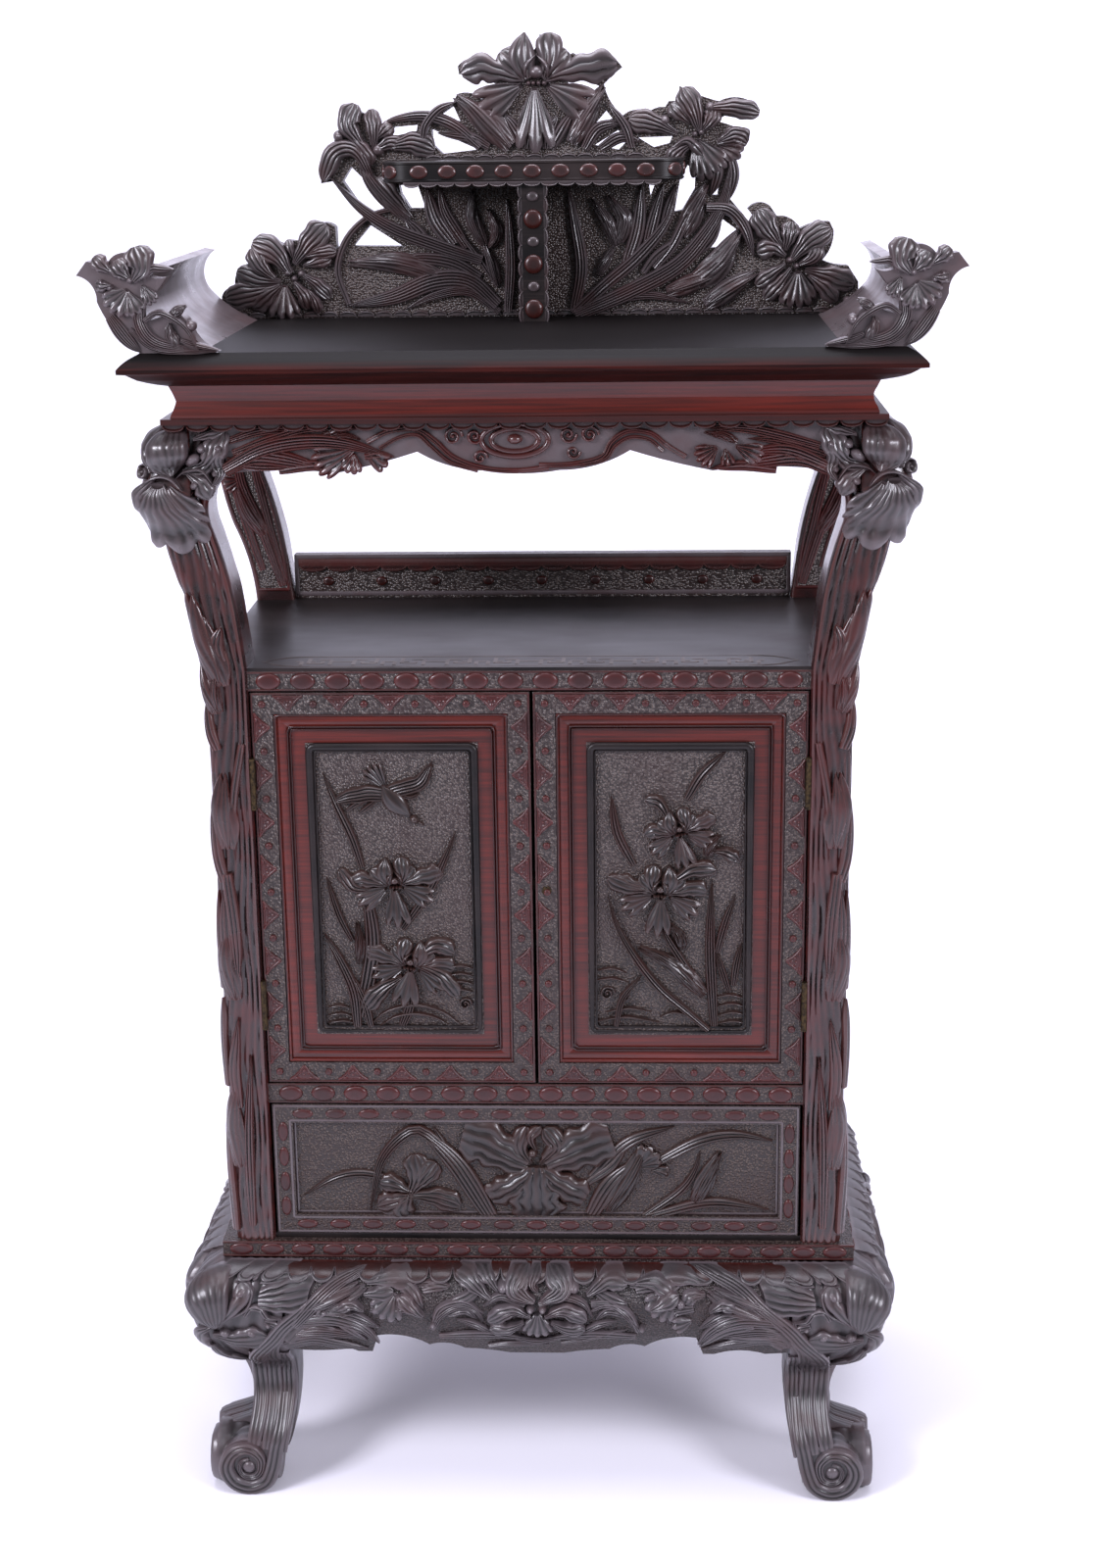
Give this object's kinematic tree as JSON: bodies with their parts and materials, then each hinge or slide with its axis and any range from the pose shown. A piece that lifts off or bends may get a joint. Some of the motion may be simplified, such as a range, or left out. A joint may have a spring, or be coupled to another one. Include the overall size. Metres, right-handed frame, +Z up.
{
  "type": "display cabinet",
  "caption": "Carved dark wooden display cabinet on a cabriole stand, with a pair of hinged doors, a drawer, an open display deck under a cornice and a pierced crest.",
  "frame": {"origin": "on the floor, at the middle of the bounding box's width and depth", "axes": "+Z up, -Y out of the doors towards the viewer, +X to the viewer's right; the back is flat at +Y"},
  "size_m": [1.022, 0.525, 1.8774],
  "materials": {
    "carved_wood": "carved, dark, waxed",
    "lacquered_wood": "smooth, dark red-brown lacquer",
    "plain_wood": "plain, unpolished",
    "hinge_brass": "aged",
    "lock_iron": "dull"
  },
  "bodies": {
    "cabinet": {"leg_front_left": "carved_wood", "leg_front_right": "carved_wood", "leg_back_left": "carved_wood", "leg_back_right": "carved_wood", "stand_apron_front": "carved_wood", "stand_apron_back": "plain_wood", "stand_apron_left": "carved_wood", "stand_apron_right": "carved_wood", "stand_top": "lacquered_wood", "post_front_left": "carved_wood", "post_front_right": "carved_wood", "post_back_left": "carved_wood", "post_back_right": "carved_wood", "side_panel_left": "lacquered_wood", "side_panel_right": "lacquered_wood", "side_rail_left": "lacquered_wood", "side_rail_right": "lacquered_wood", "bottom_board": "plain_wood", "middle_rail": "carved_wood", "drawer_divider": "plain_wood", "deck_rail": "carved_wood", "deck_board": "lacquered_wood", "deck_gallery": "carved_wood", "back_panel": "plain_wood", "inner_shelf": "plain_wood", "shelf_battens": "plain_wood", "drawer_guides": "plain_wood", "upper_apron": "carved_wood", "frieze_front": "lacquered_wood", "frieze_back": "plain_wood", "frieze_left": "lacquered_wood", "frieze_right": "lacquered_wood", "cornice": "lacquered_wood", "flange_left": "carved_wood", "flange_right": "carved_wood", "crest_board": "carved_wood", "crest_shelf": "carved_wood", "crest_bracket": "carved_wood", "hinge_leaves_case": "hinge_brass", "hinge_pins": "hinge_brass"},
    "left_door": {"door_left_stiles": "carved_wood", "door_left_rails": "carved_wood", "door_left_moulding": "lacquered_wood", "door_left_panel": "carved_wood", "hinge_leaves_door_left": "hinge_brass"},
    "right_door": {"door_right_stiles": "carved_wood", "door_right_rails": "carved_wood", "door_right_moulding": "lacquered_wood", "door_right_panel": "carved_wood", "hinge_leaves_door_right": "hinge_brass", "lock_case": "lock_iron", "keyhole_plate": "hinge_brass"},
    "bolt": {"lock_bolt": "lock_iron"},
    "drawer": {"drawer_front": "carved_wood", "drawer_side_left": "plain_wood", "drawer_side_right": "plain_wood", "drawer_back": "plain_wood", "drawer_bottom": "plain_wood"}
  },
  "joints": [
    {"name": "left_door_hinge", "type": "hinge", "parent": "cabinet", "child": "left_door", "pos_m": [-0.3435, -0.1969, 0.84], "axis": [0, 0, -1], "range_deg": [0, 100]},
    {"name": "right_door_hinge", "type": "hinge", "parent": "cabinet", "child": "right_door", "pos_m": [0.3435, -0.1969, 0.84], "axis": [0, 0, 1], "range_deg": [0, 100]},
    {"name": "drawer_slide", "type": "slide", "parent": "cabinet", "child": "drawer", "axis": [0, -1, 0], "range_m": [0, 0.3]},
    {"name": "lock_bolt_slide", "type": "slide", "parent": "right_door", "child": "bolt", "axis": [-1, 0, 0], "range_m": [0, 0.012]}
  ]
}
